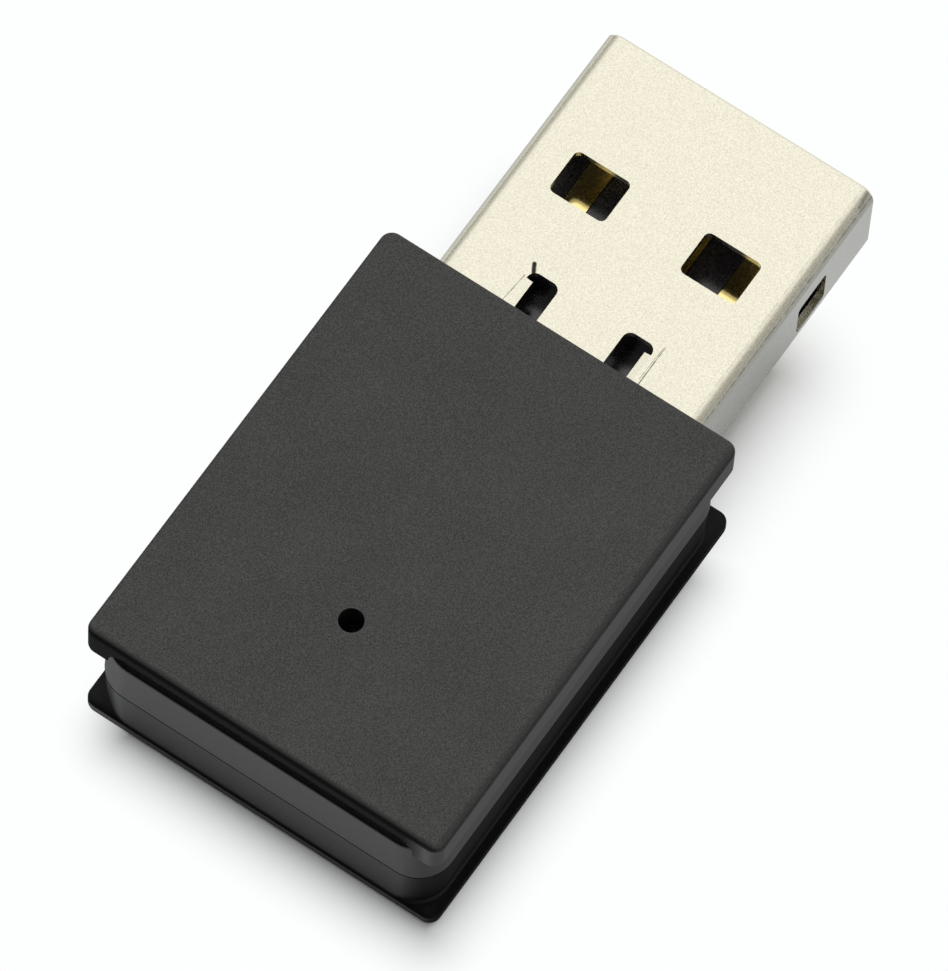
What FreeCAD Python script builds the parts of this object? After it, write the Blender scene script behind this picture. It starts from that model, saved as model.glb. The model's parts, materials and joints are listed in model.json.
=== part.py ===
import FreeCAD, Part
import os

# A small wireless adapter: a black two-part housing around a circuit board, with a plug on its front.
# Millimetres. X runs along the length towards the plug's tip, Z is up, the origin is bottom centre.

# Housing outside
HOUSING_LENGTH = 20.0
HOUSING_HEIGHT = 7.2
TOP_FLANGE_THICKNESS = 1.42
BASE_FLANGE_THICKNESS = 0.65
FLANGE_CORNER_RADIUS = 0.5
TOP_EDGE_RADIUS = 0.15
BASE_EDGE_RADIUS = 0.3
SEAM_HEIGHT = 3.25
SEAM_CHAMFER = 0.04
WAIST_SIDE_INSET = 0.27
WAIST_FRONT_INSET = 0.2
WAIST_REAR_INSET = 0.01
WAIST_CORNER_RADIUS = 1.5
WAIST_SIDE_TAPER = 0.13
WAIST_END_TAPER = 0.06
NAIL_GROOVE_LENGTH = 13.6
NAIL_GROOVE_HEIGHT = 0.86
NAIL_GROOVE_DEPTH = 0.4
NAIL_GROOVE_END_RADIUS = 0.8
LEDGE_FOOT = 0.06

# Housing inside
SIDE_WALL = 1.2
PLUG_SIDE_ROOM = 0.43
END_WALL = 0.8
FACE_WALL = 1.0
CAVITY_CORNER_RADIUS = 0.4
HOLD_LENGTH = 3.2
LIP_THICKNESS = 0.4
LIP_HEIGHT = 0.6
LIP_CLEARANCE = 0.06
SNAP_RADIUS = 0.12
SNAP_LENGTH = 2.0
SNAP_END_DISTANCE = 3.6
POST_DIAMETER = 1.6
POST_END_DISTANCE = 1.3
POST_SIDE_DISTANCE = 1.2
PRESS_POST_OFFSET = 1.8
PIN_DIAMETER = 0.8
PIN_CLEARANCE = 0.05
PIN_RISE = 0.3
LAMP_HOLE_DIAMETER = 1.0
LAMP_REAR_DISTANCE = 5.95
LAMP_TUBE_WALL = 0.5
LAMP_TUBE_GAP = 0.3

# Plug
PLUG_WIDTH = 12.0
PLUG_HEIGHT = 4.5
PLUG_REACH = 12.2
PLUG_AXIS_HEIGHT = 3.6
PLUG_CORNER_RADIUS = 0.6
SHEET = 0.3
SHELL_INSIDE = 3.6
MOUTH_CHAMFER = 0.1
PASSAGE_CLEARANCE = 0.05
WINDOW_LENGTH = 2.0
WINDOW_WIDTH = 2.5
WINDOW_CORNER_RADIUS = 0.25
WINDOW_SETBACK = 4.95
WINDOW_PITCH = 5.9
SIDE_WINDOW_LENGTH = 1.9
SIDE_WINDOW_HEIGHT = 2.05
SIDE_WINDOW_SETBACK = 3.2
SIDE_WINDOW_DROP = 1.55
SLOT_WIDTH = 1.3
SLOT_PITCH = 4.3
SLOT_REACH = 2.15
SLOT_DEPTH = 1.2
SLOT_CORNER_RADIUS = 0.35
FLAP_BEND_WIDTH = 0.28
FLAP_BEND_DROP = 0.06
FLAP_TIP_WIDTH = 0.4
FLAP_TIP_DROP = 0.55
FLAP_REACH = 1.75
SEAM_GAP = 0.08
KEY_SETBACK = 5.2
KEY_NECK = 1.2
KEY_HEAD = 2.2
KEY_HEIGHT = 1.4
LUG_LENGTH = 0.8
LUG_HEIGHT = 1.2
LUG_REACH = 0.2
LUG_DISTANCE = 0.9
LEG_LENGTH = 2.2
LEG_HEIGHT = 1.6

# Insulator and contacts
TONGUE_THICKNESS = 1.95
TONGUE_SIDE_GAP = 0.1
TONGUE_SETBACK = 0.4
TONGUE_LEAD_IN = 0.3
BLOCK_REACH = 2.8
BLOCK_TOP_GAP = 0.05
POCKET_DEPTH = 1.3
POCKET_MARGIN = 0.15
CONTACT_WIDTH = 1.0
CONTACT_THICKNESS = 0.25
CONTACT_RISE = 0.05
CONTACT_CLEARANCE = 0.03
CONTACT_NOSE = 0.6
OUTER_CONTACT_Y = 3.5
INNER_CONTACT_Y = 1.0
OUTER_CONTACT_SETBACK = 1.3
INNER_CONTACT_SETBACK = 2.3
TAIL_LENGTH = 1.5

# Board and what it carries
BOARD_THICKNESS = 0.8
BOARD_SIDE_GAP = 0.2
BOARD_END_GAP = 0.3
BOARD_FRONT_GAP = 0.1
NOTCH_GAP = 0.1
COPPER = 0.04
PAD_MARGIN = 0.2
SOLDER_LENGTH = 0.4
SOLDER_HEIGHT = 0.3
ANTENNA_WIDTH = 0.4
ANTENNA_POST_GAP = 0.25
ANTENNA_DEPTH = 1.8
ANTENNA_FOLDS = 3
ANTENNA_EDGE_GAP = 0.4
CHIP_SIDE = 4.0
CHIP_HEIGHT = 0.85
CHIP_PAD_GAP = 0.4
CRYSTAL_LENGTH = 3.2
CRYSTAL_WIDTH = 2.5
CRYSTAL_BASE_HEIGHT = 0.3
CRYSTAL_LID_HEIGHT = 0.4
CRYSTAL_LID_INSET = 0.15
CRYSTAL_GAP = 0.6
MEMORY_LENGTH = 2.9
MEMORY_WIDTH = 1.6
MEMORY_HEIGHT = 0.9
MEMORY_STANDOFF = 0.1
MEMORY_GAP = 0.9
MEMORY_LEG_PITCH = 0.95
MEMORY_LEG_WIDTH = 0.4
MEMORY_LEG_REACH = 0.6
MEMORY_LEG_THICKNESS = 0.12
MEMORY_LEG_HEIGHT = 0.45
LAMP_LENGTH = 1.6
LAMP_WIDTH = 0.8
LAMP_BASE_HEIGHT = 0.3
LAMP_LENS_HEIGHT = 0.35
LAMP_LENS_INSET = 0.3
SMALL_CHIP_LENGTH = 1.0
SMALL_CHIP_WIDTH = 0.5
CAPACITOR_HEIGHT = 0.5
RESISTOR_HEIGHT = 0.35
CAPACITOR_LAMP_DISTANCE = 1.2
BEAD_LENGTH = 1.6
BEAD_WIDTH = 0.8
BEAD_HEIGHT = 0.8

# Places worked out from the sizes
TOTAL_LENGTH = HOUSING_LENGTH + PLUG_REACH
REAR = -TOTAL_LENGTH / 2
FRONT = REAR + HOUSING_LENGTH
TIP = TOTAL_LENGTH / 2
SEAM = SEAM_HEIGHT
SHELL_REAR = FRONT - SHELL_INSIDE
SHELL_HALF = PLUG_WIDTH / 2
CAVITY_REAR = REAR + NAIL_GROOVE_DEPTH + END_WALL
CAVITY_FRONT = FRONT - HOLD_LENGTH
CAVITY_HALF = SHELL_HALF + PLUG_SIDE_ROOM
WAIST_HALF = CAVITY_HALF + SIDE_WALL
HOUSING_HALF = WAIST_HALF + WAIST_SIDE_INSET
CEILING = HOUSING_HEIGHT - FACE_WALL
SHELL_BOTTOM = PLUG_AXIS_HEIGHT - PLUG_HEIGHT / 2
SHELL_TOP = PLUG_AXIS_HEIGHT + PLUG_HEIGHT / 2
SHELL_FLOOR = SHELL_BOTTOM + SHEET
SHELL_CEILING = SHELL_TOP - SHEET
SHELL_INNER_HALF = SHELL_HALF - SHEET
LEG_REAR = SHELL_REAR - LEG_LENGTH
TONGUE_TOP = SHELL_FLOOR + TONGUE_THICKNESS
CONTACT_TOP = TONGUE_TOP + CONTACT_RISE
CONTACT_BOTTOM = CONTACT_TOP - CONTACT_THICKNESS
TAIL_REAR = SHELL_REAR - TAIL_LENGTH
BOARD_TOP = CONTACT_BOTTOM - COPPER
BOARD_BOTTOM = BOARD_TOP - BOARD_THICKNESS
BOARD_REAR = CAVITY_REAR + BOARD_END_GAP
BOARD_FRONT = SHELL_REAR - BOARD_FRONT_GAP
BOARD_HALF = CAVITY_HALF - BOARD_SIDE_GAP
PIN_X = BOARD_REAR + POST_END_DISTANCE
PIN_Y = BOARD_HALF - POST_SIDE_DISTANCE
LAMP_X = REAR + LAMP_REAR_DISTANCE
PAD_REAR = TAIL_REAR - SOLDER_LENGTH - PAD_MARGIN
CHIP_X = PAD_REAR - CHIP_PAD_GAP - CHIP_SIDE / 2
ANTENNA_HALF = PIN_Y - POST_DIAMETER / 2 - ANTENNA_POST_GAP - ANTENNA_WIDTH / 2
ANTENNA_PITCH = ANTENNA_HALF / ANTENNA_FOLDS
MEMORY_Y = CHIP_SIDE / 2 + MEMORY_GAP + MEMORY_WIDTH / 2
# The front posts stand midway between the rear press posts and the memory chip.
PRESS_POST_X = PIN_X + PRESS_POST_OFFSET
FRONT_POST_X = (PRESS_POST_X + POST_DIAMETER / 2 + CHIP_X - MEMORY_LENGTH / 2) / 2
CONTACT_PLACES = {
    "contact_power": (OUTER_CONTACT_Y, OUTER_CONTACT_SETBACK),
    "contact_data_minus": (INNER_CONTACT_Y, INNER_CONTACT_SETBACK),
    "contact_data_plus": (-INNER_CONTACT_Y, INNER_CONTACT_SETBACK),
    "contact_ground": (-OUTER_CONTACT_Y, OUTER_CONTACT_SETBACK),
}
# A cut reaches this far past the face that it opens.
CUT_OVER = 1.0
SIDES = (-1, 1)

X_AXIS = FreeCAD.Vector(1, 0, 0)
Y_AXIS = FreeCAD.Vector(0, 1, 0)
Z_AXIS = FreeCAD.Vector(0, 0, 1)


def block(x0, x1, y0, y1, z0, z1):
    """A box between two corners, whichever way round each pair is given."""
    low = FreeCAD.Vector(min(x0, x1), min(y0, y1), min(z0, z1))
    return Part.makeBox(abs(x1 - x0), abs(y1 - y0), abs(z1 - z0), low)


def post(x, y, z0, z1, diameter):
    """An upright round post or hole."""
    return Part.makeCylinder(diameter / 2, z1 - z0, FreeCAD.Vector(x, y, z0), Z_AXIS)


def rounded(shape, axis, radius):
    """The shape with its straight edges along one axis rounded."""
    edges = []
    for edge in shape.Edges:
        straight = len(edge.Vertexes) == 2 and isinstance(edge.Curve, Part.Line)
        if straight and abs(edge.tangentAt(edge.FirstParameter).dot(axis)) > 0.999:
            edges.append(edge)
    return shape.makeFillet(radius, edges)


def level_edges(shape, height):
    """The edges that lie flat at the given height."""
    found = []
    for edge in shape.Edges:
        box = edge.BoundBox
        if abs(box.ZMin - height) < 1e-6 and abs(box.ZMax - height) < 1e-6:
            found.append(edge)
    return found


def one_solid(shape):
    """The single clean solid of a fused or cut shape."""
    clean = shape.removeSplitter()
    return max(clean.Solids, key=lambda solid: solid.Volume)


def outline(z, rear_inset, front_inset, side_inset, radius):
    """A rounded rectangle at height z, set in from the housing's outside by the given amounts."""
    x0 = REAR + rear_inset
    x1 = FRONT - front_inset
    half = HOUSING_HALF - side_inset
    slab = rounded(block(x0, x1, -half, half, z, z + CUT_OVER), Z_AXIS, radius)
    return min(slab.Faces, key=lambda face: face.CenterOfMass.z).OuterWire


def waist_outline(z, taper_share, reach=0.0):
    """The waist's outline at height z, with a share of its taper, reaching out by the given amount."""
    ends = WAIST_END_TAPER * taper_share - reach
    sides = WAIST_SIDE_TAPER * taper_share - reach
    return outline(z, WAIST_REAR_INSET + ends, WAIST_FRONT_INSET + ends, WAIST_SIDE_INSET + sides,
                   WAIST_CORNER_RADIUS)


def flange(face, waist_side, edge_radius):
    """A flange plate of the housing, rounded along the edge of its outer face."""
    plate = block(REAR, FRONT, -HOUSING_HALF, HOUSING_HALF, face, waist_side)
    plate = rounded(plate, Z_AXIS, FLANGE_CORNER_RADIUS)
    return plate.makeFillet(edge_radius, level_edges(plate, face))


def nail_groove(low):
    """The cutter of the groove for a fingernail, in the lower part of the top flange's rear side."""
    half = NAIL_GROOVE_LENGTH / 2
    groove = block(REAR - NAIL_GROOVE_DEPTH, REAR + NAIL_GROOVE_DEPTH, -half, half,
                   low - NAIL_GROOVE_HEIGHT, low + NAIL_GROOVE_HEIGHT)
    groove = rounded(groove, X_AXIS, NAIL_GROOVE_END_RADIUS)
    return groove.common(block(REAR - NAIL_GROOVE_DEPTH, REAR + NAIL_GROOVE_DEPTH, -half, half,
                               low, low + NAIL_GROOVE_HEIGHT))


def waist(widest, narrowest):
    """The recessed wall from the seam to a flange, tapered for its mould, with the seam's edge broken."""
    outlines = [waist_outline(SEAM, 0, -SEAM_CHAMFER), waist_outline(widest, 0), waist_outline(narrowest, 1)]
    return Part.makeLoft(outlines, True, True)


def waist_foot():
    """The small slope where the lower waist meets its ledge."""
    low = waist_outline(BASE_FLANGE_THICKNESS, 1, LEDGE_FOOT)
    high = waist_outline(BASE_FLANGE_THICKNESS + LEDGE_FOOT, 1)
    return Part.makeLoft([low, high], True, True)


def cavity(z0, z1, grow=0.0):
    """The room behind the plug, grown sideways by the given amount."""
    room = block(CAVITY_REAR - grow, CAVITY_FRONT + grow, -CAVITY_HALF - grow, CAVITY_HALF + grow, z0, z1)
    return rounded(room, Z_AXIS, CAVITY_CORNER_RADIUS + grow)


def plug_section(x0, x1, grow=0.0):
    """The plug's outer section along X, grown by the given amount."""
    half = SHELL_HALF + grow
    bar = block(x0, x1, -half, half, SHELL_BOTTOM - grow, SHELL_TOP + grow)
    return rounded(bar, X_AXIS, PLUG_CORNER_RADIUS + grow)


def lugs(grow=0.0):
    """The shell's side lugs, which stop it sliding along X, as two blocks."""
    x0 = SHELL_REAR + LUG_DISTANCE - grow
    x1 = SHELL_REAR + LUG_DISTANCE + LUG_LENGTH + grow
    z0 = PLUG_AXIS_HEIGHT - LUG_HEIGHT / 2 - grow
    z1 = PLUG_AXIS_HEIGHT + LUG_HEIGHT / 2 + grow
    outer = SHELL_HALF + LUG_REACH + grow
    inner = SHELL_HALF - SHEET / 2
    return [block(x0, x1, side * inner, side * outer, z0, z1) for side in SIDES]


def plug_room():
    """What both covers leave free for the plug: its passage, its lugs and its legs."""
    passage = plug_section(LEG_REAR - PASSAGE_CLEARANCE, FRONT + CUT_OVER, PASSAGE_CLEARANCE)
    return passage.multiFuse(lugs(PASSAGE_CLEARANCE))


def snap_beads(radius, length):
    """Half-round beads on the lip's long sides that snap the covers together."""
    beads = []
    height = SEAM + LIP_HEIGHT / 2
    for side in SIDES:
        y = side * (CAVITY_HALF + LIP_THICKNESS)
        for x in (CAVITY_REAR + SNAP_END_DISTANCE, CAVITY_FRONT - SNAP_END_DISTANCE):
            start = FreeCAD.Vector(x - length / 2, y, height)
            beads.append(Part.makeCylinder(radius, length, start, X_AXIS))
    return beads


def top_cover():
    """Upper half of the housing: face, flange, waist, nail groove, rebate, press posts and lamp tube."""
    underside = HOUSING_HEIGHT - TOP_FLANGE_THICKNESS
    shell = flange(HOUSING_HEIGHT, underside, TOP_EDGE_RADIUS).cut(nail_groove(underside))
    shell = shell.fuse(waist(SEAM + SEAM_CHAMFER, underside))
    shell = shell.cut(cavity(SEAM - CUT_OVER, CEILING))
    rebate_top = SEAM + LIP_HEIGHT + LIP_CLEARANCE
    shell = shell.cut(cavity(SEAM - CUT_OVER, rebate_top, LIP_THICKNESS + LIP_CLEARANCE))
    grooves = snap_beads(SNAP_RADIUS + LIP_CLEARANCE, SNAP_LENGTH + 2 * LIP_CLEARANCE)
    shell = shell.cut(plug_room()).cut(grooves)
    lamp_top = BOARD_TOP + LAMP_BASE_HEIGHT + LAMP_LENS_HEIGHT
    tube_diameter = LAMP_HOLE_DIAMETER + 2 * LAMP_TUBE_WALL
    parts = [post(LAMP_X, 0, lamp_top + LAMP_TUBE_GAP, CEILING, tube_diameter)]
    for side in SIDES:
        parts.append(post(PRESS_POST_X, side * PIN_Y, BOARD_TOP, CEILING, POST_DIAMETER))
        parts.append(post(FRONT_POST_X, side * PIN_Y, BOARD_TOP, CEILING, POST_DIAMETER))
    shell = shell.multiFuse(parts)
    lamp_hole = post(LAMP_X, 0, lamp_top, HOUSING_HEIGHT + CUT_OVER, LAMP_HOLE_DIAMETER)
    return one_solid(shell.cut(lamp_hole))


def bottom_cover():
    """Lower half of the housing: face, flange, lower waist, lip with snap beads, board posts and pins."""
    shell = flange(0, BASE_FLANGE_THICKNESS, BASE_EDGE_RADIUS)
    shell = shell.multiFuse([waist(SEAM - SEAM_CHAMFER, BASE_FLANGE_THICKNESS), waist_foot()])
    lip = cavity(SEAM - CUT_OVER, SEAM + LIP_HEIGHT, LIP_THICKNESS)
    shell = shell.fuse(lip).multiFuse(snap_beads(SNAP_RADIUS, SNAP_LENGTH))
    shell = shell.cut(cavity(FACE_WALL, SEAM + LIP_HEIGHT + CUT_OVER))
    parts = []
    for side in SIDES:
        parts.append(post(PIN_X, side * PIN_Y, FACE_WALL, BOARD_BOTTOM, POST_DIAMETER))
        parts.append(post(PIN_X, side * PIN_Y, FACE_WALL, BOARD_TOP + PIN_RISE, PIN_DIAMETER))
        parts.append(post(FRONT_POST_X, side * PIN_Y, FACE_WALL, BOARD_BOTTOM, POST_DIAMETER))
    return one_solid(shell.multiFuse(parts).cut(plug_room()))


def window(y, z0, z1):
    """A window's cutter through the shell's top or bottom wall."""
    front = TIP - WINDOW_SETBACK
    half = WINDOW_WIDTH / 2
    cutter = block(front - WINDOW_LENGTH, front, y - half, y + half, z0, z1)
    return rounded(cutter, Z_AXIS, WINDOW_CORNER_RADIUS)


def side_window(side):
    """The cutter of a window in the shell's side wall."""
    front = TIP - SIDE_WINDOW_SETBACK
    top = SHELL_TOP - SIDE_WINDOW_DROP
    outer = side * (SHELL_HALF + CUT_OVER)
    inner = side * (SHELL_INNER_HALF - CUT_OVER)
    cutter = block(front - SIDE_WINDOW_LENGTH, front, inner, outer, top - SIDE_WINDOW_HEIGHT, top)
    return rounded(cutter, Y_AXIS, WINDOW_CORNER_RADIUS)


def rear_slot(side):
    """The cutter of a slot in the shell's top wall."""
    y = side * SLOT_PITCH / 2
    slot = block(FRONT - SLOT_DEPTH, FRONT + SLOT_REACH, y - SLOT_WIDTH / 2, y + SLOT_WIDTH / 2,
                 SHELL_CEILING - SHEET, SHELL_TOP + CUT_OVER)
    return rounded(slot, Z_AXIS, SLOT_CORNER_RADIUS)


def flap(side):
    """The flap along a slot's outer edge, bent gently at first and then steeply down into the slot."""
    fold = SLOT_PITCH / 2 + SLOT_WIDTH / 2
    rear = FRONT - SLOT_DEPTH
    tip = fold - FLAP_TIP_WIDTH
    low = SHELL_TOP - FLAP_TIP_DROP
    section = [(fold, SHELL_TOP), (fold - FLAP_BEND_WIDTH, SHELL_TOP - FLAP_BEND_DROP), (tip, low),
               (tip + SHEET, low), (fold, SHELL_CEILING), (fold, SHELL_TOP)]
    face = Part.Face(Part.makePolygon([FreeCAD.Vector(rear, side * y, z) for y, z in section]))
    return face.extrude(FreeCAD.Vector(FLAP_REACH + SLOT_DEPTH, 0, 0))


def fold_seam():
    """The cutter of the joint where the folded sheet's two edges meet below, with its locking key."""
    z0 = SHELL_BOTTOM - CUT_OVER
    z1 = SHELL_FLOOR + SHEET / 2
    middle = TIP - KEY_SETBACK
    straight = block(SHELL_REAR - CUT_OVER, TIP + CUT_OVER, -SEAM_GAP / 2, SEAM_GAP / 2, z0, z1)

    def key(grow):
        neck = KEY_NECK / 2 + grow
        head = KEY_HEAD / 2 + grow
        reach = KEY_HEIGHT + grow
        corners = [(middle - neck, 0), (middle + neck, 0), (middle + head, reach), (middle - head, reach)]
        corners.append(corners[0])
        face = Part.Face(Part.makePolygon([FreeCAD.Vector(x, y, z0) for x, y in corners]))
        return face.extrude(FreeCAD.Vector(0, 0, z1 - z0))

    return straight.fuse(key(SEAM_GAP)).cut(key(0.0)).cut(
        block(middle - KEY_NECK / 2, middle + KEY_NECK / 2, -SEAM_GAP, SEAM_GAP, z0, z1))


def plug_shell():
    """The folded sheet of the plug, with windows, slots, flaps, fold seam, side lugs and solder legs."""
    outer = plug_section(SHELL_REAR, TIP)
    mouth = [edge for edge in outer.Edges if edge.BoundBox.XMin > TIP - 1e-6]
    outer = outer.makeChamfer(MOUTH_CHAMFER, mouth)
    shell = outer.cut(plug_section(SHELL_REAR - CUT_OVER, TIP + CUT_OVER, -SHEET))
    cutters = [fold_seam()]
    for side in SIDES:
        y = side * WINDOW_PITCH / 2
        cutters.append(window(y, SHELL_CEILING - SHEET, SHELL_TOP + CUT_OVER))
        cutters.append(window(y, SHELL_BOTTOM - CUT_OVER, SHELL_FLOOR + SHEET))
        cutters.append(side_window(side))
        cutters.append(rear_slot(side))
    shell = shell.cut(cutters)
    parts = lugs()
    for side in SIDES:
        parts.append(flap(side))
        parts.append(block(LEG_REAR, SHELL_REAR + SHEET, side * SHELL_INNER_HALF, side * SHELL_HALF,
                           BOARD_BOTTOM, BOARD_BOTTOM + LEG_HEIGHT))
    return one_solid(shell.multiFuse(parts))


def contact_strip(y, setback, clearance):
    """A contact from its nose on the tongue to its tail, grown by a clearance for its channel."""
    half = CONTACT_WIDTH / 2 + clearance
    nose = TIP - TONGUE_SETBACK - setback
    strip = block(TAIL_REAR, nose + clearance, y - half, y + half, CONTACT_BOTTOM, CONTACT_TOP + clearance)
    hook = block(nose - CONTACT_THICKNESS - clearance, nose + clearance, y - half, y + half,
                 CONTACT_TOP - CONTACT_NOSE - clearance, CONTACT_TOP)
    return strip.fuse(hook)


def plug_insulator():
    """The plastic tongue on the shell's floor, and the block behind it that fills the shell."""
    half = SHELL_INNER_HALF - TONGUE_SIDE_GAP
    front = TIP - TONGUE_SETBACK
    tongue = block(SHELL_REAR, front, -half, half, SHELL_FLOOR, TONGUE_TOP)
    lead_in = [edge for edge in level_edges(tongue, TONGUE_TOP) if edge.BoundBox.XMin > front - 1e-6]
    tongue = tongue.makeChamfer(TONGUE_LEAD_IN, lead_in)
    body = block(SHELL_REAR, FRONT + BLOCK_REACH, -half, half, SHELL_FLOOR, SHELL_CEILING - BLOCK_TOP_GAP)
    piece = body.fuse(tongue).common(plug_section(SHELL_REAR, TIP, -SHEET))
    cutters = [contact_strip(y, setback, CONTACT_CLEARANCE) for y, setback in CONTACT_PLACES.values()]
    inner = SLOT_PITCH / 2 - SLOT_WIDTH / 2 - POCKET_MARGIN
    outer = SLOT_PITCH / 2 + SLOT_WIDTH / 2 + POCKET_MARGIN
    rear = FRONT - SLOT_DEPTH - POCKET_MARGIN
    for side in SIDES:
        cutters.append(block(rear, FRONT + SLOT_REACH, side * inner, side * outer,
                             SHELL_CEILING - POCKET_DEPTH, SHELL_CEILING + CUT_OVER))
    return one_solid(piece.cut(cutters))


def circuit_board():
    """The board, with holes for the locating pins and notches beside the shell's legs."""
    board = block(BOARD_REAR, BOARD_FRONT, -BOARD_HALF, BOARD_HALF, BOARD_BOTTOM, BOARD_TOP)
    low = BOARD_BOTTOM - CUT_OVER
    high = BOARD_TOP + CUT_OVER
    cutters = []
    for side in SIDES:
        cutters.append(post(PIN_X, side * PIN_Y, low, high, PIN_DIAMETER + 2 * PIN_CLEARANCE))
        notch = side * (SHELL_INNER_HALF - NOTCH_GAP)
        cutters.append(block(LEG_REAR - NOTCH_GAP, BOARD_FRONT + CUT_OVER, notch, side * HOUSING_HALF,
                             low, high))
    return one_solid(board.cut(cutters))


def copper_pads():
    """One pad under each contact's tail."""
    pads = []
    half = CONTACT_WIDTH / 2 + PAD_MARGIN
    for y, _ in CONTACT_PLACES.values():
        pads.append(block(PAD_REAR, BOARD_FRONT - PAD_MARGIN, y - half, y + half,
                          BOARD_TOP, BOARD_TOP + COPPER))
    return Part.makeCompound(pads)


def wedge(x_low, x_high, y0, y1, z, height):
    """A solder ramp that falls from its full height at x_high to nothing at x_low."""
    corners = [(x_low, z), (x_high, z), (x_high, z + height), (x_low, z)]
    face = Part.Face(Part.makePolygon([FreeCAD.Vector(x, y0, level) for x, level in corners]))
    return face.extrude(FreeCAD.Vector(0, y1 - y0, 0))


def solder_joints():
    """Solder ramps behind the contacts' tails, and fillets that tie the shell's legs to the board."""
    joints = []
    half = CONTACT_WIDTH / 2
    for y, _ in CONTACT_PLACES.values():
        joints.append(wedge(TAIL_REAR - SOLDER_LENGTH, TAIL_REAR, y - half, y + half, BOARD_TOP + COPPER,
                            CONTACT_THICKNESS))
    for side in SIDES:
        leg = side * SHELL_INNER_HALF
        inner = side * (SHELL_INNER_HALF - NOTCH_GAP - SOLDER_LENGTH)
        corners = [(leg, BOARD_TOP), (leg, BOARD_TOP + SOLDER_HEIGHT), (inner, BOARD_TOP), (leg, BOARD_TOP)]
        face = Part.Face(Part.makePolygon([FreeCAD.Vector(LEG_REAR + NOTCH_GAP, y, z) for y, z in corners]))
        joints.append(face.extrude(FreeCAD.Vector(LEG_LENGTH - 2 * NOTCH_GAP - SHEET, 0, 0)))
    return Part.makeCompound(joints)


def antenna_trace():
    """A folded copper line across the rear end of the board, with its feed towards the chip."""
    x0 = BOARD_REAR + ANTENNA_EDGE_GAP
    x1 = x0 + ANTENNA_DEPTH
    z1 = BOARD_TOP + COPPER
    runs = []
    for fold in range(2 * ANTENNA_FOLDS + 1):
        y = fold * ANTENNA_PITCH - ANTENNA_HALF
        runs.append(block(x0, x1, y - ANTENNA_WIDTH / 2, y + ANTENNA_WIDTH / 2, BOARD_TOP, z1))
        if fold < 2 * ANTENNA_FOLDS:
            x = x0 if fold % 2 else x1 - ANTENNA_WIDTH
            y0 = y - ANTENNA_WIDTH / 2
            runs.append(block(x, x + ANTENNA_WIDTH, y0, y0 + ANTENNA_PITCH + ANTENNA_WIDTH, BOARD_TOP, z1))
    feed_end = LAMP_X - BEAD_LENGTH / 2
    runs.append(block(x0, feed_end, ANTENNA_HALF - ANTENNA_WIDTH / 2, ANTENNA_HALF + ANTENNA_WIDTH / 2,
                      BOARD_TOP, z1))
    return one_solid(runs[0].multiFuse(runs[1:]))


def chip_body(x, y, length, width, z0, height):
    """A small moulded or ceramic body centred at x, y."""
    return block(x - length / 2, x + length / 2, y - width / 2, y + width / 2, z0, z0 + height)


def radio_chip():
    """The square radio chip."""
    return chip_body(CHIP_X, 0, CHIP_SIDE, CHIP_SIDE, BOARD_TOP, CHIP_HEIGHT)


def crystal_can():
    """The crystal: a ceramic base with a metal lid, beside the radio chip."""
    y = -(CHIP_SIDE / 2 + CRYSTAL_GAP + CRYSTAL_WIDTH / 2)
    base = chip_body(CHIP_X, y, CRYSTAL_LENGTH, CRYSTAL_WIDTH, BOARD_TOP, CRYSTAL_BASE_HEIGHT)
    lid = chip_body(CHIP_X, y, CRYSTAL_LENGTH - 2 * CRYSTAL_LID_INSET, CRYSTAL_WIDTH - 2 * CRYSTAL_LID_INSET,
                    BOARD_TOP + CRYSTAL_BASE_HEIGHT, CRYSTAL_LID_HEIGHT)
    return one_solid(base.fuse(lid))


def memory_chip():
    """The memory chip's moulded body, held off the board by its legs."""
    base = BOARD_TOP + MEMORY_STANDOFF
    return chip_body(CHIP_X, MEMORY_Y, MEMORY_LENGTH, MEMORY_WIDTH, base, MEMORY_HEIGHT)


def memory_legs():
    """Three bent legs on each long side of the memory chip."""
    legs = []
    t = MEMORY_LEG_THICKNESS
    for side in SIDES:
        face_y = MEMORY_Y + side * MEMORY_WIDTH / 2
        knee_y = face_y + side * MEMORY_LEG_REACH / 2
        toe_y = face_y + side * MEMORY_LEG_REACH
        for step in (-1, 0, 1):
            x0 = CHIP_X + step * MEMORY_LEG_PITCH - MEMORY_LEG_WIDTH / 2
            x1 = x0 + MEMORY_LEG_WIDTH
            knee_z = BOARD_TOP + MEMORY_LEG_HEIGHT
            arm = block(x0, x1, face_y, knee_y, knee_z - t, knee_z)
            shin = block(x0, x1, knee_y - side * t, knee_y, BOARD_TOP, BOARD_TOP + MEMORY_LEG_HEIGHT)
            toe = block(x0, x1, knee_y - side * t, toe_y, BOARD_TOP, BOARD_TOP + t)
            legs.append(one_solid(arm.multiFuse([shin, toe])))
    return Part.makeCompound(legs)


def status_lamp():
    """The small lamp under the hole in the top cover."""
    base = chip_body(LAMP_X, 0, LAMP_WIDTH, LAMP_LENGTH, BOARD_TOP, LAMP_BASE_HEIGHT)
    lens_base = BOARD_TOP + LAMP_BASE_HEIGHT
    lens = chip_body(LAMP_X, 0, LAMP_WIDTH, LAMP_LENGTH - 2 * LAMP_LENS_INSET, lens_base, LAMP_LENS_HEIGHT)
    return one_solid(base.fuse(lens))


def small_chips(places, height):
    """Small two-ended chips lying along Y, as one group."""
    bodies = [chip_body(x, y, SMALL_CHIP_WIDTH, SMALL_CHIP_LENGTH, BOARD_TOP, height) for x, y in places]
    return Part.makeCompound(bodies)


def capacitors():
    """A row of capacitors between the lamp and the antenna."""
    x = LAMP_X - CAPACITOR_LAMP_DISTANCE
    places = [(x, step * SMALL_CHIP_LENGTH * 1.5) for step in (-1.5, -0.5, 0.5, 1.5)]
    return small_chips(places, CAPACITOR_HEIGHT)


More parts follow.
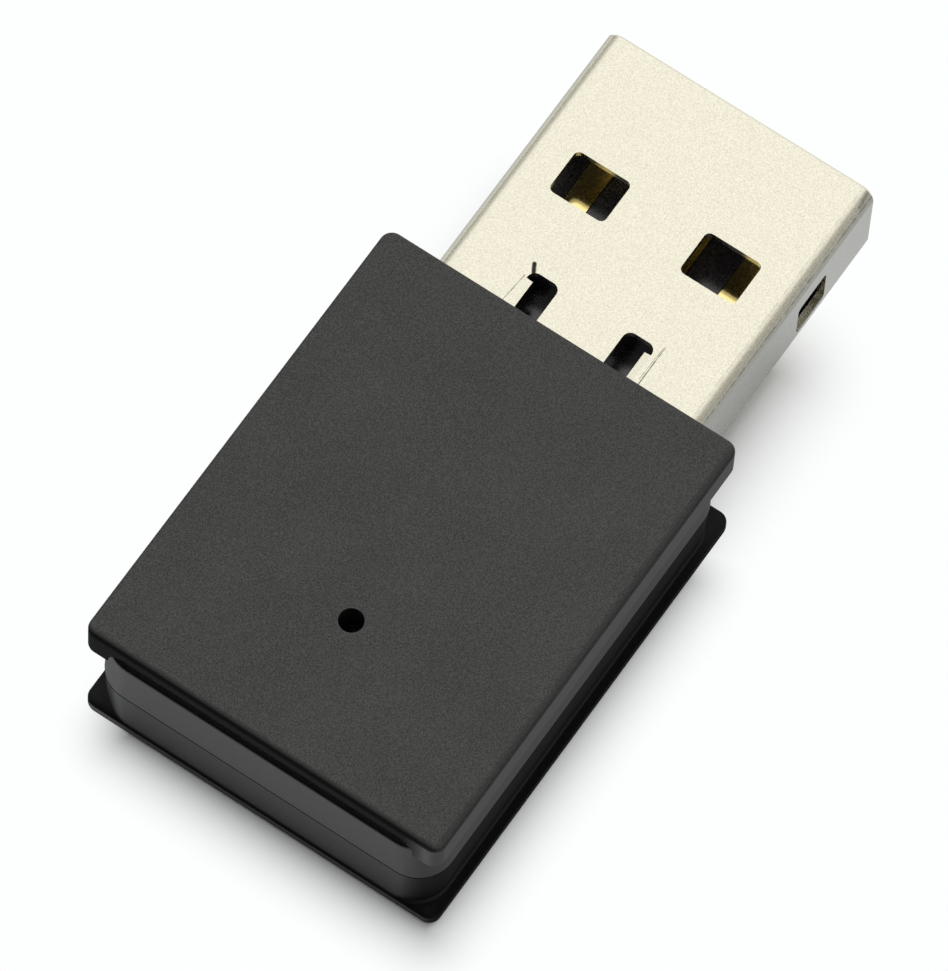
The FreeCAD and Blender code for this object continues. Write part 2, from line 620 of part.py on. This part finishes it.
def resistors():
    """A pair of resistors beside the lamp."""
    offset = LAMP_LENGTH / 2 + SMALL_CHIP_LENGTH
    return small_chips([(LAMP_X, side * offset) for side in SIDES], RESISTOR_HEIGHT)


def ferrite_bead():
    """The ferrite bead in the power line, beside the lamp."""
    y = -(LAMP_LENGTH / 2 + 2 * SMALL_CHIP_LENGTH + BEAD_WIDTH / 2)
    return chip_body(LAMP_X, y, BEAD_LENGTH, BEAD_WIDTH, BOARD_TOP, BEAD_HEIGHT)


def band_filter():
    """The ceramic radio filter between the chip and the antenna's feed."""
    return chip_body(LAMP_X, ANTENNA_HALF, BEAD_LENGTH, BEAD_WIDTH, BOARD_TOP, BEAD_HEIGHT)


def pieces():
    """Every node's name with its shape."""
    made = {
        "top_cover": top_cover(),
        "bottom_cover": bottom_cover(),
        "plug_shell": plug_shell(),
        "plug_insulator": plug_insulator(),
        "circuit_board": circuit_board(),
        "copper_pads": copper_pads(),
        "solder_joints": solder_joints(),
        "antenna_trace": antenna_trace(),
        "radio_chip": radio_chip(),
        "crystal_can": crystal_can(),
        "memory_chip": memory_chip(),
        "memory_legs": memory_legs(),
        "status_lamp": status_lamp(),
        "capacitors": capacitors(),
        "resistors": resistors(),
        "ferrite_bead": ferrite_bead(),
        "band_filter": band_filter(),
    }
    for name, (y, setback) in CONTACT_PLACES.items():
        made[name] = one_solid(contact_strip(y, setback, 0.0))
    return made


os.makedirs("parts", exist_ok=True)
for node, shape in pieces().items():
    shape.exportStep(os.path.join("parts", node + ".step"))
    print(node, "solids", len(shape.Solids), "volume", round(shape.Volume, 3), "valid", shape.isValid())
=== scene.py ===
import json
import bpy
from mathutils import Matrix, Vector


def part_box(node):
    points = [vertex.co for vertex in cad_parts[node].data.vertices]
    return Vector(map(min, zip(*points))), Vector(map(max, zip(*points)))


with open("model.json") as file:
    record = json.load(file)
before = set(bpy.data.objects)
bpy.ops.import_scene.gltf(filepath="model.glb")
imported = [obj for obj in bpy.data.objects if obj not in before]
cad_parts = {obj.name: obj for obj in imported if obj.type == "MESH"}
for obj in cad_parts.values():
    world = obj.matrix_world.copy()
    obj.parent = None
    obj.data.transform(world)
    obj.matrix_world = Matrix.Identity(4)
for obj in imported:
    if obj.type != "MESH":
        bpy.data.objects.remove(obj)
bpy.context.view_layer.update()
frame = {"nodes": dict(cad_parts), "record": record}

MM = 0.001
MICRON = 0.000001


# Node helpers

def add(tree, kind, inputs=None, **settings):
    """Adds a node. Each input takes a plain value or another node's output socket."""
    made = tree.nodes.new(kind)
    for name, value in settings.items():
        setattr(made, name, value)
    for name, value in (inputs or {}).items():
        if isinstance(value, bpy.types.NodeSocket):
            tree.links.new(value, made.inputs[name])
        else:
            made.inputs[name].default_value = value
    return made


def ramp(tree, factor, stops):
    """A colour ramp node with the given (position, grey) stops."""
    made = add(tree, "ShaderNodeValToRGB", {"Fac": factor})
    elements = made.color_ramp.elements
    while len(elements) < len(stops):
        elements.new(0.5)
    for element, (place, grey) in zip(elements, stops):
        element.position = place
        element.color = (grey, grey, grey, 1)
    return made.outputs["Color"]


def blend_colours(tree, factor, one, two):
    """A colour between two, by a factor."""
    made = add(tree, "ShaderNodeMix", {0: factor, 6: one, 7: two}, data_type="RGBA")
    return made.outputs[2]


def spread(tree, value, low, high):
    """A value from 0 to 1 spread over a range."""
    made = add(tree, "ShaderNodeMapRange", {"Value": value, "To Min": low, "To Max": high})
    return made.outputs["Result"]


def rise(tree, value, none, full):
    """0 where a value is at one bound or beyond it, rising to 1 at the other bound."""
    made = add(tree, "ShaderNodeMapRange", {"Value": value, "From Min": none, "From Max": full})
    return made.outputs["Result"]


def math_node(tree, operation, one, two=0.0):
    """The result of one math operation on one or two values."""
    return add(tree, "ShaderNodeMath", {0: one, 1: two}, operation=operation).outputs[0]


def product(tree, first, *others):
    """Several values multiplied."""
    for other in others:
        first = math_node(tree, "MULTIPLY", first, other)
    return first


def total(tree, first, *others):
    """Several values added."""
    for other in others:
        first = math_node(tree, "ADD", first, other)
    return first


def largest(tree, first, *others):
    """The largest of several values."""
    for other in others:
        first = math_node(tree, "MAXIMUM", first, other)
    return first


def limited(tree, value):
    """A value held between 0 and 1."""
    return add(tree, "ShaderNodeClamp", {"Value": value}).outputs["Result"]


def axes(tree, vector):
    """The X, Y and Z of a vector."""
    return add(tree, "ShaderNodeSeparateXYZ", {"Vector": vector}).outputs


def place_on_part(tree):
    """Where a point lies in the part's frame, in metres."""
    return add(tree, "ShaderNodeTexCoord").outputs["Object"]


def facing(tree):
    """The direction in which the surface faces."""
    return add(tree, "ShaderNodeNewGeometry").outputs["Normal"]


def outside(tree, value, low, high):
    """How far a value lies outside a range, and 0 inside it."""
    below = math_node(tree, "SUBTRACT", low, value)
    above = math_node(tree, "SUBTRACT", value, high)
    return largest(tree, below, above, 0.0)


def group(name, inputs, outputs):
    """An empty node group with its sockets, and its input and output nodes."""
    tree = bpy.data.node_groups.new(name, "ShaderNodeTree")
    for label, default in inputs:
        socket = tree.interface.new_socket(label, in_out="INPUT", socket_type="NodeSocketFloat")
        socket.default_value = default
    for label in outputs:
        tree.interface.new_socket(label, in_out="OUTPUT", socket_type="NodeSocketFloat")
    return tree, tree.nodes.new("NodeGroupInput"), tree.nodes.new("NodeGroupOutput")


def use(tree, made_group, **inputs):
    """Places a node group in a tree, and returns its node."""
    node = add(tree, "ShaderNodeGroup", node_tree=made_group)
    for name, value in inputs.items():
        node.inputs[name].default_value = value
    return node


# Shared effects

def make_grain():
    """A fine eroded grain: Height for bump, Patches for slow variation. Size is the grain's size in metres."""
    tree, source, sink = group("eroded_grain", [("Size", 0.1 * MM)], ["Height", "Patches"])
    place = place_on_part(tree)
    scale = math_node(tree, "DIVIDE", 1.0, source.outputs["Size"])
    fine = add(tree, "ShaderNodeTexNoise", {"Vector": place, "Scale": scale, "Detail": 3.0, "Roughness": 0.6})
    cells = add(tree, "ShaderNodeTexVoronoi", {"Vector": place, "Scale": scale}, feature="SMOOTH_F1")
    slow = add(tree, "ShaderNodeTexNoise", {"Vector": place, "Scale": 260.0, "Detail": 2.0})
    mixed = total(tree, fine.outputs["Fac"], product(tree, cells.outputs["Distance"], 0.7))
    tree.links.new(mixed, sink.inputs["Height"])
    tree.links.new(slow.outputs["Fac"], sink.inputs["Patches"])
    return tree


def make_wear():
    """Edge marks where a surface turns: Edge is 1 on an edge and 0 on a flat. Reach is its width in metres."""
    tree, source, sink = group("edge_wear", [("Reach", 0.1 * MM)], ["Edge"])
    bevel = add(tree, "ShaderNodeBevel", {"Radius": source.outputs["Reach"]}, samples=6)
    turn = add(tree, "ShaderNodeVectorMath", {0: bevel.outputs["Normal"], 1: facing(tree)}, operation="DOT_PRODUCT")
    sharp = math_node(tree, "SUBTRACT", 1.0, turn.outputs["Value"])
    broken = add(tree, "ShaderNodeTexNoise", {"Vector": place_on_part(tree), "Scale": 2500.0, "Detail": 3.0})
    worn = product(tree, sharp, 6.0, broken.outputs["Fac"])
    tree.links.new(limited(tree, worn), sink.inputs["Edge"])
    return tree


def make_stroke():
    """A straight mark seen from above, from a start to an end point, as a Mask that fades over Width."""
    tree, source, sink = group("stroke", [("Start X", 0), ("Start Y", 0), ("End X", 0), ("End Y", 0), ("Width", 0)],
                               ["Mask"])

    def flat(x, y):
        return add(tree, "ShaderNodeCombineXYZ", {"X": x, "Y": y}).outputs[0]

    def vector(operation, one, two, output="Vector"):
        return add(tree, "ShaderNodeVectorMath", {0: one, 1: two}, operation=operation).outputs[output]

    start = flat(source.outputs["Start X"], source.outputs["Start Y"])
    end = flat(source.outputs["End X"], source.outputs["End Y"])
    here = vector("SUBTRACT", vector("MULTIPLY", place_on_part(tree), (1, 1, 0)), start)
    along = vector("SUBTRACT", end, start)
    passed = math_node(tree, "DIVIDE", vector("DOT_PRODUCT", here, along, "Value"),
                       vector("DOT_PRODUCT", along, along, "Value"))
    nearest = add(tree, "ShaderNodeVectorMath", {0: along, "Scale": limited(tree, passed)}, operation="SCALE")
    away = vector("DISTANCE", here, nearest.outputs["Vector"], "Value")
    mask = add(tree, "ShaderNodeMapRange", {"Value": away, "From Max": source.outputs["Width"],
                                            "To Min": 1.0, "To Max": 0.0}, interpolation_type="SMOOTHSTEP")
    tree.links.new(mask.outputs["Result"], sink.inputs["Mask"])
    return tree


GRAIN = make_grain()
WEAR = make_wear()
STROKE = make_stroke()


# Materials

def start_material(name, metallic=0.0, **sockets):
    """A new material with its Principled shader, and its plain values set on the shader's own sockets."""
    material = bpy.data.materials.new(name)
    material.use_nodes = True
    tree = material.node_tree
    shader = tree.nodes["Principled BSDF"]
    shader.inputs["Metallic"].default_value = metallic
    for label, value in sockets.items():
        shader.inputs[label.replace("_", " ")].default_value = value
    return material, tree, shader


def finish_surface(tree, shader, colour, rough, height, depth):
    """Links colour, roughness and a bump of the given depth in metres to the shader."""
    bump = add(tree, "ShaderNodeBump", {"Height": height, "Distance": depth, "Strength": 1.0})
    tree.links.new(colour, shader.inputs["Base Color"])
    tree.links.new(rough, shader.inputs["Roughness"])
    tree.links.new(bump.outputs["Normal"], shader.inputs["Normal"])


def moulded(tree, dark, light, rough, grain):
    """Colour, roughness and height of moulded plastic: an eroded grain that also shows in the tone, slow
    patches, and smoother, paler edges."""
    grained = use(tree, GRAIN, Size=grain)
    worn = use(tree, WEAR, Reach=0.08 * MM).outputs["Edge"]
    specks = ramp(tree, grained.outputs["Height"], [(0.55, 0), (0.95, 1)])
    mixed = total(tree, product(tree, specks, 0.75), product(tree, grained.outputs["Patches"], 0.25))
    tone = blend_colours(tree, mixed, (*dark, 1), (*light, 1))
    rubbed = tuple(min(1, value * 1.5) for value in light)
    colour = blend_colours(tree, product(tree, worn, 0.5), tone, (*rubbed, 1))
    base = spread(tree, grained.outputs["Height"], *rough)
    smooth = math_node(tree, "SUBTRACT", base, product(tree, worn, 0.12))
    return colour, smooth, grained.outputs["Height"]


def plastic(name, dark, light, rough, grain=0.09 * MM, depth=6 * MICRON, **sockets):
    """A plain piece of moulded plastic."""
    material, tree, shader = start_material(name, **sockets)
    colour, smooth, height = moulded(tree, dark, light, rough, grain)
    finish_surface(tree, shader, colour, smooth, height, depth)
    return material


# Painted shade and a painted highlight on the housing, where it looks darker or paler than its plastic
# because of how the light falls: each from where the tone starts to where it is full, in metres
REAR_EDGE_SHADE = (0.35 * MM, 0.1 * MM)
RIGHT_EDGE_SHADE = (0.4 * MM, 0.2 * MM)
GROOVE_SHADE_END = (-7.3 * MM, -6.3 * MM)
GROOVE_SHADE_HEIGHT = (5.6 * MM, 5.8 * MM)
FOOT_HIGHLIGHT_LOWER = (0.6 * MM, 0.65 * MM)
FOOT_HIGHLIGHT_UPPER = (0.85 * MM, 0.78 * MM)
FOOT_HIGHLIGHT_COLOUR = (0.035, 0.035, 0.033, 1)


def housing_plastic(name, dark, light, rough, flank_rough, **sockets):
    """The housing's plastic: textured level faces with painted shade along the rear and right edges, walls darkened
    as painted shade with a thin painted highlight line at their foot on the matt long sides, and black, matt painted
    shade round the nail groove."""
    material, tree, shader = start_material(name, **sockets)
    colour, smooth, height = moulded(tree, dark, light, rough, 0.05 * MM)
    normal, place = axes(tree, facing(tree)), axes(tree, place_on_part(tree))
    rear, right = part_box("top_cover")[0].x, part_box("top_cover")[0].y

    # Painted shade: the walls are darker than the level faces.
    walls = rise(tree, normal["Z"], 0.95, 0.5)
    flanks = rise(tree, math_node(tree, "ABSOLUTE", normal["Y"]), 0.2, 0.95)
    level = rise(tree, normal["Z"], 0.3, 0.8)
    # Painted shade: black on the rear faces from the nail groove up, fading out towards the right end.
    groove_shade = product(tree, rise(tree, normal["X"], -0.2, -0.6), rise(tree, place["Y"], *GROOVE_SHADE_END),
                   rise(tree, place["Z"], *GROOVE_SHADE_HEIGHT))
    # Painted shade along the rear and right edges of the housing.
    rear_edge_shade = rise(tree, place["X"], rear + REAR_EDGE_SHADE[0], rear + REAR_EDGE_SHADE[1])
    right_edge_shade = rise(tree, place["Y"], right + RIGHT_EDGE_SHADE[0], right + RIGHT_EDGE_SHADE[1])
    # Painted highlight: a thin paler line at the foot of the long sides.
    foot_highlight = product(tree, rise(tree, place["Z"], *FOOT_HIGHLIGHT_LOWER), rise(tree, place["Z"], *FOOT_HIGHLIGHT_UPPER),
                        flanks)

    shade = largest(tree, product(tree, walls, 0.8), rear_edge_shade, product(tree, right_edge_shade, 0.6), groove_shade)
    shaded = blend_colours(tree, shade, colour, (*dark, 1))
    highlighted = blend_colours(tree, foot_highlight, shaded, FOOT_HIGHLIGHT_COLOUR)
    matt = total(tree, smooth, product(tree, flanks, flank_rough), product(tree, groove_shade, 0.6),
                 product(tree, rear_edge_shade, level, 0.35))
    finish_surface(tree, shader, highlighted, limited(tree, matt), height, 4 * MICRON)
    return material


def metal(name, dark, light, rough, grain=0.12 * MM, depth=1.5 * MICRON, **sockets):
    """Plated or bare metal: fine mottling, faint lengthwise rolling marks, and burnished edges."""
    material, tree, shader = start_material(name, metallic=1.0, **sockets)
    grained = use(tree, GRAIN, Size=grain)
    along = add(tree, "ShaderNodeVectorMath", {0: place_on_part(tree), 1: (0.08, 1.0, 1.0)},
                operation="MULTIPLY").outputs[0]
    rolled = add(tree, "ShaderNodeTexNoise", {"Vector": along, "Scale": 6000.0, "Detail": 2.0}).outputs["Fac"]
    worn = use(tree, WEAR, Reach=0.06 * MM).outputs["Edge"]
    mottled = total(tree, product(tree, grained.outputs["Height"], 0.7), product(tree, rolled, 0.3))
    tone = blend_colours(tree, ramp(tree, mottled, [(0.3, 0), (0.7, 1)]), (*dark, 1), (*light, 1))
    base = spread(tree, mottled, *rough)
    smooth = math_node(tree, "SUBTRACT", base, product(tree, worn, 0.1))
    finish_surface(tree, shader, tone, smooth, mottled, depth)
    return material


# Dark marks on the shell's top as start, end, width and strength, in millimetres: painted shade in the flap creases,
# a nick, a scratch, and dark lines along both long edges
SHELL_MARKS_AND_SHADE = [
    ((4.0, -3.07), (6.22, -3.07), 0.035, 1.0),
    ((4.6, -2.98), (6.15, -3.02), 0.022, 0.7),
    ((4.0, 3.07), (5.72, 2.92), 0.03, 0.9),
    ((5.86, 2.64), (6.3, 2.88), 0.12, 2.5),
    ((6.39, -0.13), (6.42, -0.6), 0.02, 0.35),
    ((3.9, -5.5), (16.1, -5.5), 0.09, 0.2),
    ((3.9, -5.6), (16.1, -5.58), 0.05, 0.15),
    ((3.9, -5.9), (16.1, -5.9), 0.06, 0.6),
    ((15.3, -5.8), (16.0, -5.72), 0.1, 0.5),
    ((3.9, 5.6), (16.1, 5.6), 0.05, 0.1),
]
MARK_AND_SHADE_COLOUR = (0.03, 0.03, 0.025, 1)
MARKED_ABOVE = 4.9 * MM
SIDE_SHADE_TINT = (0.36, 0.375, 0.42, 1)


def shell_marks_and_shade(tree):
    """All the marks on the shell's top as one mask, painted crease shade among them, with a broken outline."""
    marks = []
    for start, end, width, strength in SHELL_MARKS_AND_SHADE:
        stroke = use(tree, STROKE, **{"Start X": start[0] * MM, "Start Y": start[1] * MM,
                                      "End X": end[0] * MM, "End Y": end[1] * MM, "Width": width * MM})
        marks.append(product(tree, stroke.outputs["Mask"], strength))
    place = place_on_part(tree)
    upper = math_node(tree, "GREATER_THAN", axes(tree, place)["Z"], MARKED_ABOVE)
    broken = add(tree, "ShaderNodeTexNoise", {"Vector": place, "Scale": 4000.0, "Detail": 2.0}).outputs["Fac"]
    return product(tree, largest(tree, *marks), upper, ramp(tree, broken, [(0.3, 0.35), (0.6, 1)]))


def sheet_metal(name, dark, light, rough):
    """The shell's nickel-plated sheet: an even grain, sides darkened as painted shade, and the small marks on its
    top, some of them painted shade.
    """
    material, tree, shader = start_material(name, metallic=1.0)
    grained = use(tree, GRAIN, Size=0.06 * MM)
    specks = ramp(tree, grained.outputs["Height"], [(0.5, 0), (1.0, 1)])
    tone = blend_colours(tree, specks, (*dark, 1), (*light, 1))
    # Painted shade: the sides are darkened by a tint.
    side_shade = rise(tree, math_node(tree, "ABSOLUTE", axes(tree, facing(tree))["Y"]), 0.6, 0.98)
    sides = add(tree, "ShaderNodeMix", {0: 1.0, 6: tone, 7: SIDE_SHADE_TINT}, data_type="RGBA", blend_type="MULTIPLY")
    tone = blend_colours(tree, side_shade, tone, sides.outputs[2])
    # The marks, with painted shade in the flap creases among them.
    marks = shell_marks_and_shade(tree)
    marked = blend_colours(tree, marks, tone, MARK_AND_SHADE_COLOUR)
    height = math_node(tree, "SUBTRACT", grained.outputs["Height"], product(tree, marks, 4.0))
    finish_surface(tree, shader, marked, spread(tree, specks, *rough), height, 1.5 * MICRON)
    return material


def fired(name, dark, light, rough):
    """Fired ceramic or ferrite: speckled and matt."""
    material, tree, shader = start_material(name)
    grained = use(tree, GRAIN, Size=0.04 * MM)
    specks = ramp(tree, grained.outputs["Height"], [(0.45, 0), (0.75, 1)])
    colour = blend_colours(tree, specks, (*dark, 1), (*light, 1))
    finish_surface(tree, shader, colour, spread(tree, grained.outputs["Patches"], *rough),
                   grained.outputs["Height"], 2 * MICRON)
    return material


def laminate(name):
    """Green lacquer over glass cloth, with the weave faintly showing."""
    material, tree, shader = start_material(name, Coat_Weight=0.5, Coat_Roughness=0.15)
    place = place_on_part(tree)
    waves = [add(tree, "ShaderNodeTexWave", {"Vector": place, "Scale": 700.0, "Distortion": 0.4},
                 bands_direction=axis).outputs["Fac"] for axis in "XY"]
    weave = product(tree, *waves)
    patches = use(tree, GRAIN, Size=0.3 * MM).outputs["Patches"]
    mixed = total(tree, product(tree, weave, 0.4), product(tree, patches, 0.6))
    colour = blend_colours(tree, mixed, (0.004, 0.045, 0.02, 1), (0.012, 0.11, 0.05, 1))
    finish_surface(tree, shader, colour, spread(tree, weave, 0.35, 0.5), weave, 3 * MICRON)
    return material


MATERIALS = {
    "top_plastic": housing_plastic("top_plastic", (0.002, 0.002, 0.0018), (0.084, 0.083, 0.079), (0.34, 0.46), 0.2,
                                   Specular_IOR_Level=0.3),
    "bottom_plastic": housing_plastic("bottom_plastic", (0.0015, 0.0015, 0.0017), (0.012, 0.012, 0.013), (0.3, 0.4),
                                      0.6, Specular_IOR_Level=0.12),
    "plug_nickel": sheet_metal("plug_nickel", (0.62, 0.59, 0.475), (0.83, 0.795, 0.65), (0.2, 0.32)),
    "insulator_plastic": plastic("insulator_plastic", (0.008, 0.007, 0.009), (0.03, 0.027, 0.034), (0.1, 0.2),
                                 depth=1 * MICRON, Specular_IOR_Level=0.8),
    "contact_gold": metal("contact_gold", (0.8, 0.6, 0.2), (0.98, 0.8, 0.36), (0.05, 0.1), depth=0.4 * MICRON),
    "board_laminate": laminate("board_laminate"),
    "copper": metal("copper", (0.75, 0.45, 0.25), (0.9, 0.62, 0.38), (0.25, 0.4)),
    "solder": metal("solder", (0.5, 0.5, 0.5), (0.68, 0.68, 0.68), (0.2, 0.35)),
    "chip_resin": plastic("chip_resin", (0.01, 0.01, 0.01), (0.018, 0.018, 0.018), (0.5, 0.62), grain=0.05 * MM),
    "crystal_metal": metal("crystal_metal", (0.6, 0.59, 0.56), (0.75, 0.74, 0.7), (0.2, 0.3)),
    "leg_tin": metal("leg_tin", (0.55, 0.55, 0.55), (0.7, 0.7, 0.7), (0.25, 0.35)),
    "lamp_resin": plastic("lamp_resin", (0.6, 0.61, 0.55), (0.75, 0.76, 0.7), (0.12, 0.2), depth=1 * MICRON),
    "capacitor_ceramic": fired("capacitor_ceramic", (0.22, 0.14, 0.08), (0.34, 0.24, 0.15), (0.45, 0.6)),
    "resistor_ceramic": fired("resistor_ceramic", (0.012, 0.012, 0.014), (0.04, 0.04, 0.045), (0.3, 0.4)),
    "ferrite": fired("ferrite", (0.025, 0.025, 0.028), (0.06, 0.06, 0.065), (0.5, 0.65)),
    "filter_ceramic": fired("filter_ceramic", (0.55, 0.55, 0.52), (0.7, 0.7, 0.67), (0.4, 0.55)),
}
for part in frame["record"]["subparts"]:
    for cell in frame["nodes"][part["node"]].material_slots:
        cell.material = MATERIALS[part["material_slot"]]


# Camera, fitted to the photograph

VIEW_RIGHT = Vector((0.5598036, -0.8280299, 0.0314085))
VIEW_UP = Vector((0.748977, 0.5218459, 0.4083022))
VIEW_BACK = Vector((-0.3544769, -0.2050448, 0.9123063))
VIEW_PLACE = Vector((-160.49742, -91.72982, 412.39149)) * MM


def oriented(right, up, back, place):
    """A matrix from three axes and a place."""
    turn = Matrix((right, up, back)).transposed().to_4x4()
    turn.translation = place
    return turn


camera = bpy.data.objects.new("camera", bpy.data.cameras.new("camera"))
bpy.context.scene.collection.objects.link(camera)
camera.data.lens = 444.9
camera.data.sensor_width = 36.0
camera.data.clip_start = 0.01
camera.data.clip_end = 10.0
camera.matrix_world = oriented(VIEW_RIGHT, VIEW_UP, VIEW_BACK, VIEW_PLACE)
bpy.context.scene.camera = camera


# Floor and light

FLOOR_HALF = 4.0
FLOOR_DROP = 0.01 * MM
HOLE_MARGIN = 0.4 * MM
PAPER = (0.89, 0.9, 0.9, 1)
BURNT_PAPER = (0.985, 1.0, 0.995, 1)

# The blocks that the shadow's fade is measured from, as a range along X, a range along Y, and the distance at which
# the paper is plain white, in millimetres, fitted to the photographed shadow
HOUSING_FADE = ((-16.15, 1.0), (-7.65, 5.8), 2.9)
PLUG_FADE = ((1.0, 10.0), (-5.75, 4.5), 4.3)


def faded(tree, x_range, y_range, length):
    """Rises from 0 on a rectangle of the floor to 1 at the given distance from it, fast at first."""
    place = axes(tree, place_on_part(tree))
    across = add(tree, "ShaderNodeCombineXYZ", {
        "X": outside(tree, place["X"], x_range[0] * MM, x_range[1] * MM),
        "Y": outside(tree, place["Y"], y_range[0] * MM, y_range[1] * MM)})
    away = add(tree, "ShaderNodeVectorMath", {0: across.outputs[0]}, operation="LENGTH").outputs["Value"]
    left = rise(tree, away, length * MM, 0.0)
    return math_node(tree, "SUBTRACT", 1.0, product(tree, left, left))


def floor_paper():
    """White paper: it keeps the part's soft shadow, burns out to plain white a few millimetres away where it is seen
    or mirrored, and is clear from below."""
    material, tree, shader = start_material("floor_paper", Base_Color=PAPER, Roughness=0.9, Specular_IOR_Level=0.2)
    rays = add(tree, "ShaderNodeLightPath").outputs
    seen = largest(tree, rays["Is Camera Ray"], rays["Is Glossy Ray"], rays["Is Transmission Ray"])
    nearest = math_node(tree, "MINIMUM", faded(tree, *HOUSING_FADE), faded(tree, *PLUG_FADE))
    white = add(tree, "ShaderNodeEmission", {"Color": BURNT_PAPER, "Strength": 1.0})
    mixed = add(tree, "ShaderNodeMixShader",
                {0: product(tree, seen, nearest), 1: shader.outputs[0], 2: white.outputs[0]})
    below = add(tree, "ShaderNodeNewGeometry").outputs["Backfacing"]
    clear = add(tree, "ShaderNodeBsdfTransparent")
    paper = add(tree, "ShaderNodeMixShader", {0: below, 1: mixed.outputs[0], 2: clear.outputs[0]})
    tree.links.new(paper.outputs[0], tree.nodes["Material Output"].inputs["Surface"])
    return material


def make_floor():
    """A wide sheet just under the part, with a hole under the housing, so that light reaches its underside."""
    low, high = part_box("bottom_cover")
    outer = [(x * FLOOR_HALF, y * FLOOR_HALF, -FLOOR_DROP) for x, y in [(-1, -1), (1, -1), (1, 1), (-1, 1)]]
    x0, x1, y0, y1 = low[0] + HOLE_MARGIN, high[0] - HOLE_MARGIN, low[1] + HOLE_MARGIN, high[1] - HOLE_MARGIN
    inner = [(x, y, -FLOOR_DROP) for x, y in [(x0, y0), (x1, y0), (x1, y1), (x0, y1)]]
    sides = [(side, (side + 1) % 4, (side + 1) % 4 + 4, side + 4) for side in range(4)]
    mesh = bpy.data.meshes.new("floor")
    mesh.from_pydata(outer + inner, [], sides)
    mesh.materials.append(floor_paper())
    floor = bpy.data.objects.new("floor", mesh)
    bpy.context.scene.collection.objects.link(floor)


def make_light(name, towards, distance, size, power):
    """A square soft light in the given direction from the object, aimed at it."""
    lamp = bpy.data.lights.new(name, "AREA")
    lamp.size = size
    lamp.energy = power
    direction = Vector(towards).normalized()
    made = bpy.data.objects.new(name, lamp)
    made.location = direction * distance
    made.rotation_euler = direction.to_track_quat("Z", "Y").to_euler()
    bpy.context.scene.collection.objects.link(made)


LIT_FROM = Vector((0.34, 0.2, 0.92)).normalized()
BROAD_LIGHT = 1.2
REAR_SKY, FRONT_SKY = 0.22, 0.5


def make_world():
    """A dim studio with one broad soft light overhead, to the front and left, and a pale ground below."""
    world = bpy.data.worlds.new("studio")
    world.use_nodes = True
    tree = world.node_tree
    direction = add(tree, "ShaderNodeTexCoord").outputs["Generated"]
    apart = axes(tree, direction)
    near = add(tree, "ShaderNodeVectorMath", {0: direction, 1: LIT_FROM}, operation="DOT_PRODUCT").outputs["Value"]
    around = add(tree, "ShaderNodeMapRange", {"Value": apart["X"], "From Min": -0.7, "From Max": -0.1,
                                              "To Min": REAR_SKY, "To Max": FRONT_SKY}).outputs["Result"]
    dome = add(tree, "ShaderNodeMapRange", {"Value": near, "From Min": 0.6, "From Max": 0.95, "To Min": around,
                                            "To Max": BROAD_LIGHT}, interpolation_type="SMOOTHSTEP").outputs["Result"]
    ground = rise(tree, apart["Z"], 0.0, -0.1)
    tree.links.new(largest(tree, dome, ground), tree.nodes["Background"].inputs["Color"])
    tree.nodes["Background"].inputs["Strength"].default_value = 1.0
    bpy.context.scene.world = world


make_floor()
make_light("key_softbox", towards=(0.75, -0.15, 0.64), distance=0.6, size=0.4, power=0.25)
make_world()
bpy.context.scene.view_settings.view_transform = "Standard"
